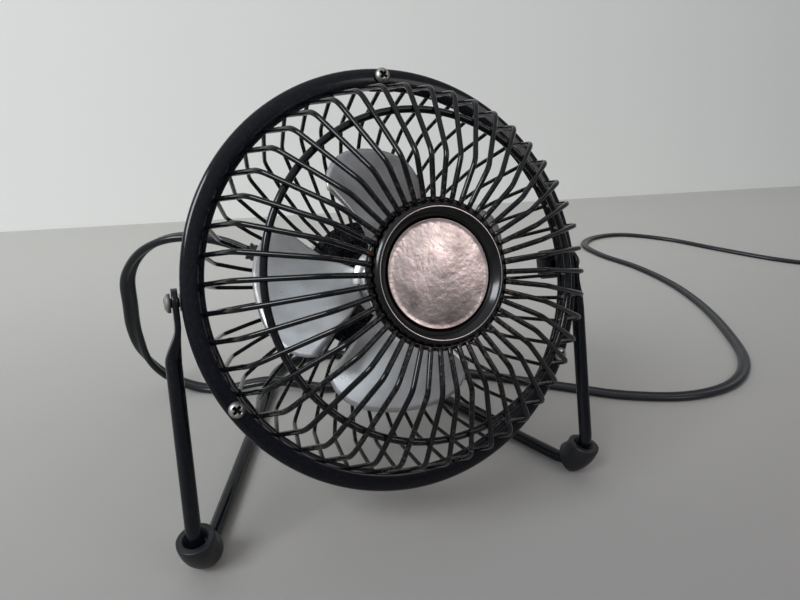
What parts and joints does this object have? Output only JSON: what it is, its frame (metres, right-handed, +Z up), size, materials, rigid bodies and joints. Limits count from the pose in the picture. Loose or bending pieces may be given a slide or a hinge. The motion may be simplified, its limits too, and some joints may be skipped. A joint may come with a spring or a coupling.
{
  "type": "desk fan",
  "caption": "Small wire-guarded desk fan whose round head tilts between the legs of a bent-rod stand, with a rocker switch, a flat mains lead and a two-pin plug.",
  "frame": {"origin": "on the surface the fan stands on, below the middle of the tilt pivots", "axes": "+Z up, the front of the fan faces -Y, +X runs along the tilt axis to the fan's left side"},
  "size_m": [0.6067, 0.3448, 0.155],
  "materials": {
    "black_paint": "gloss black paint over steel wire and sheet",
    "badge_foil": "pinkish silver hammered foil",
    "steel": "zinc plated and plain steel",
    "copper_wire": "enamelled copper wire",
    "bronze": "sintered bronze",
    "aluminium": "satin pressed aluminium",
    "rubber": "matt black rubber",
    "black_plastic": "black moulded plastic",
    "cord_pvc": "soft black PVC sheath",
    "pin_brass": "bright brass pins"
  },
  "bodies": {
    "stand": {"stand_rod": "black_paint", "foot_right": "rubber", "foot_left": "rubber", "cord": "cord_pvc", "cord_coil": "cord_pvc", "coil_tie": "black_plastic", "plug_body": "black_plastic", "plug_pin_1": "pin_brass", "plug_pin_2": "pin_brass"},
    "head": {"front_guard": "black_paint", "cap_bezel": "black_paint", "badge_disc": "badge_foil", "hub_plate": "black_paint", "cap_nut": "steel", "rear_guard": "black_paint", "ring_screw_1": "steel", "ring_screw_2": "steel", "ring_screw_3": "steel", "ring_nut_1": "steel", "ring_nut_2": "steel", "ring_nut_3": "steel", "pivot_screw_right": "steel", "pivot_spacer_right": "steel", "pivot_screw_left": "steel", "pivot_spacer_left": "steel", "motor_housing": "black_paint", "rear_cover": "black_paint", "stator_core": "steel", "stator_windings": "copper_wire", "front_bearing": "bronze", "rear_bearing": "bronze", "motor_screw_1": "steel", "motor_screw_2": "steel", "through_bolt_1": "steel", "through_bolt_2": "steel", "strain_relief": "rubber", "switch_body": "black_plastic"},
    "rotor": {"motor_shaft": "steel", "rotor_core": "steel", "blade_hub": "aluminium", "blade_nut": "steel", "blades": "aluminium", "hub_grub_screw": "steel"},
    "rocker": {"switch_rocker": "black_plastic"}
  },
  "joints": [
    {"name": "head_tilt", "type": "hinge", "parent": "stand", "child": "head", "pos_m": [0, 0, 0.0855], "axis": [1, 0, 0], "range_deg": [-60, 50]},
    {"name": "rotor_spin", "type": "hinge", "parent": "head", "child": "rotor", "pos_m": [0, 0, 0.0855], "axis": [0, -0.9331, 0.3595], "continuous": true},
    {"name": "switch_press", "type": "hinge", "parent": "head", "child": "rocker", "pos_m": [0, 0.06544, 0.07454], "axis": [1, 0, 0], "range_deg": [-16, 0]}
  ]
}
